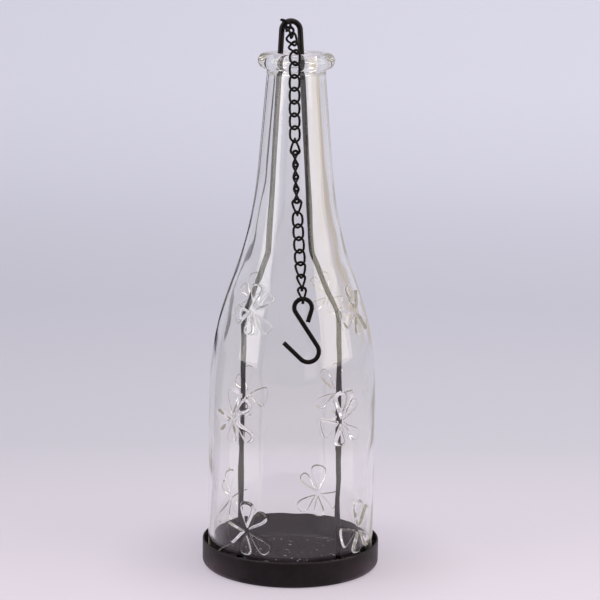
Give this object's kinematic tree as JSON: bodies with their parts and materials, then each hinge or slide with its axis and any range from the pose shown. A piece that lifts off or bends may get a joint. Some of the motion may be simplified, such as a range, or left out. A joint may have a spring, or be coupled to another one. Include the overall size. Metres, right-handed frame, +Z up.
{
  "type": "hanging bottle candle holder",
  "caption": "Clear glass bottle without a bottom over a black metal tray for a candle, with a wire through its neck to a loop that carries a chain and an S-hook.",
  "frame": {"origin": "centre of the tray's underside, on the ground", "axes": "+Z up along the bottle's axis; the chain and the S-hook hang on the -Y side, and the hanger wire lies in the XZ plane"},
  "size_m": [0.094, 0.094, 0.2899],
  "materials": {
    "black_metal": "satin black lacquer with a faint brown cast",
    "black_chain": "satin black lacquer on steel wire",
    "clear_glass": "clear pressed glass, fire polished"
  },
  "bodies": {
    "base": {"tray": "black_metal", "hanger_wire": "black_metal"},
    "bottle": {"glass_bottle": "clear_glass"},
    "link_01": {"chain_link_01": "black_chain"},
    "link_02": {"chain_link_02": "black_chain"},
    "link_03": {"chain_link_03": "black_chain"},
    "link_04": {"chain_link_04": "black_chain"},
    "link_05": {"chain_link_05": "black_chain"},
    "link_06": {"chain_link_06": "black_chain"},
    "link_07": {"chain_link_07": "black_chain"},
    "link_08": {"chain_link_08": "black_chain"},
    "link_09": {"chain_link_09": "black_chain"},
    "link_10": {"chain_link_10": "black_chain"},
    "link_11": {"chain_link_11": "black_chain"},
    "link_12": {"chain_link_12": "black_chain"},
    "link_13": {"chain_link_13": "black_chain"},
    "link_14": {"chain_link_14": "black_chain"},
    "link_15": {"chain_link_15": "black_chain"},
    "link_16": {"chain_link_16": "black_chain"},
    "link_17": {"chain_link_17": "black_chain"},
    "link_18": {"chain_link_18": "black_chain"},
    "link_19": {"chain_link_19": "black_chain"},
    "link_20": {"chain_link_20": "black_chain"},
    "link_21": {"chain_link_21": "black_chain"},
    "link_22": {"chain_link_22": "black_chain"},
    "link_23": {"chain_link_23": "black_chain"},
    "link_24": {"chain_link_24": "black_chain"},
    "hook": {"s_hook": "black_chain"}
  },
  "joints": [
    {"name": "bottle_lift", "type": "slide", "parent": "base", "child": "bottle", "axis": [0, 0, 1], "range_m": [0, 0.014]},
    {"name": "link_01_swing", "type": "hinge", "parent": "base", "child": "link_01", "pos_m": [-0.00625, 0, 0.28737], "axis": [0.7071, 0, 0.7071], "range_deg": [-60, 0]},
    {"name": "link_02_turn", "type": "hinge", "parent": "link_01", "child": "link_02", "pos_m": [-0.00417, -0.00383, 0.28518], "axis": [0.989, 0.1296, 0.0715], "range_deg": [-30, 0]},
    {"name": "link_03_turn", "type": "hinge", "parent": "link_02", "child": "link_03", "pos_m": [-0.00321, -0.00944, 0.28208], "axis": [0, -0.6443, 0.7648], "range_deg": [-12, 12]},
    {"name": "link_04_turn", "type": "hinge", "parent": "link_03", "child": "link_04", "pos_m": [-0.00194, -0.0143, 0.27799], "axis": [0.985, 0.1424, 0.0977], "range_deg": [-20, 0]},
    {"name": "link_05_turn", "type": "hinge", "parent": "link_04", "child": "link_05", "pos_m": [-0.00082, -0.01956, 0.27438], "axis": [0.7071, 0, 0.7071], "range_deg": [0, 20]},
    {"name": "link_06_turn", "type": "hinge", "parent": "link_05", "child": "link_06", "pos_m": [-0.0008, -0.02276, 0.26874], "axis": [0.7071, 0, 0.7071], "range_deg": [0, 20]},
    {"name": "link_07_turn", "type": "hinge", "parent": "link_06", "child": "link_07", "pos_m": [-0.00078, -0.02277, 0.26226], "axis": [0.7071, 0, 0.7071], "range_deg": [0, 20]},
    {"name": "link_08_turn", "type": "hinge", "parent": "link_07", "child": "link_08", "pos_m": [-0.00074, -0.02277, 0.25578], "axis": [0.9999, 0, 0.0127], "range_deg": [-20, 0]},
    {"name": "link_09_turn", "type": "hinge", "parent": "link_08", "child": "link_09", "pos_m": [-0.00065, -0.02277, 0.2493], "axis": [0, 1, -0.0001], "range_deg": [-12, 12]},
    {"name": "link_10_turn", "type": "hinge", "parent": "link_09", "child": "link_10", "pos_m": [-0.00054, -0.02277, 0.24282], "axis": [0.9997, 0, 0.0231], "range_deg": [-20, 0]},
    {"name": "link_11_turn", "type": "hinge", "parent": "link_10", "child": "link_11", "pos_m": [-0.00039, -0.02277, 0.23634], "axis": [0, -0.9842, 0.177], "range_deg": [-12, 12]},
    {"name": "link_12_turn", "type": "hinge", "parent": "link_11", "child": "link_12", "pos_m": [-0.00021, -0.02392, 0.22997], "axis": [0.9994, 0.0013, 0.0333], "range_deg": [-20, 0]},
    {"name": "link_13_turn", "type": "hinge", "parent": "link_12", "child": "link_13", "pos_m": [0, -0.02415, 0.2238], "axis": [0, 1, -0.0001], "range_deg": [-12, 12]},
    {"name": "link_14_turn", "type": "hinge", "parent": "link_13", "child": "link_14", "pos_m": [0.00023, -0.02415, 0.21762], "axis": [0.9991, 0, 0.0432], "range_deg": [-20, 0]},
    {"name": "link_15_turn", "type": "hinge", "parent": "link_14", "child": "link_15", "pos_m": [0.0005, -0.02415, 0.21145], "axis": [0, -1, 0.0001], "range_deg": [-12, 12]},
    {"name": "link_16_turn", "type": "hinge", "parent": "link_15", "child": "link_16", "pos_m": [0.0008, -0.02415, 0.20527], "axis": [0.9986, 0.0064, 0.0522], "range_deg": [-20, 0]},
    {"name": "link_17_turn", "type": "hinge", "parent": "link_16", "child": "link_17", "pos_m": [0.00112, -0.02491, 0.19915], "axis": [0, 0.9936, -0.1132], "range_deg": [-12, 12]},
    {"name": "link_18_turn", "type": "hinge", "parent": "link_17", "child": "link_18", "pos_m": [0.00148, -0.02561, 0.19302], "axis": [0.998, 0.0002, 0.063], "range_deg": [-20, 0]},
    {"name": "link_19_turn", "type": "hinge", "parent": "link_18", "child": "link_19", "pos_m": [0.00189, -0.02562, 0.18655], "axis": [0, -0.9784, 0.2069], "range_deg": [-12, 12]},
    {"name": "link_20_turn", "type": "hinge", "parent": "link_19", "child": "link_20", "pos_m": [0.00232, -0.02696, 0.18023], "axis": [0.9975, 0.017, 0.0689], "range_deg": [-20, 0]},
    {"name": "link_21_turn", "type": "hinge", "parent": "link_20", "child": "link_21", "pos_m": [0.00278, -0.02851, 0.17395], "axis": [0, 0.9248, -0.3804], "range_deg": [-12, 12]},
    {"name": "link_22_turn", "type": "hinge", "parent": "link_21", "child": "link_22", "pos_m": [0.00325, -0.03097, 0.16797], "axis": [0.997, 0.0287, 0.0712], "range_deg": [-20, 0]},
    {"name": "link_23_turn", "type": "hinge", "parent": "link_22", "child": "link_23", "pos_m": [0.00375, -0.03338, 0.16198], "axis": [0, -0.9472, 0.3208], "range_deg": [-12, 12]},
    {"name": "link_24_turn", "type": "hinge", "parent": "link_23", "child": "link_24", "pos_m": [0.00428, -0.03545, 0.15586], "axis": [0.9962, 0.0285, 0.0826], "range_deg": [-20, 0]},
    {"name": "hook_swing", "type": "hinge", "parent": "link_24", "child": "hook", "pos_m": [0.00474, -0.03714, 0.15099], "axis": [1, 0, 0], "range_deg": [-90, 0]}
  ],
  "couplings": [
    {"joint": "link_01_swing", "follows": "bottle_lift", "rad_per_m": -74.79},
    {"joint": "link_05_turn", "follows": "bottle_lift", "rad_per_m": 24.93},
    {"joint": "link_06_turn", "follows": "bottle_lift", "rad_per_m": 24.93},
    {"joint": "link_07_turn", "follows": "bottle_lift", "rad_per_m": 24.93}
  ]
}
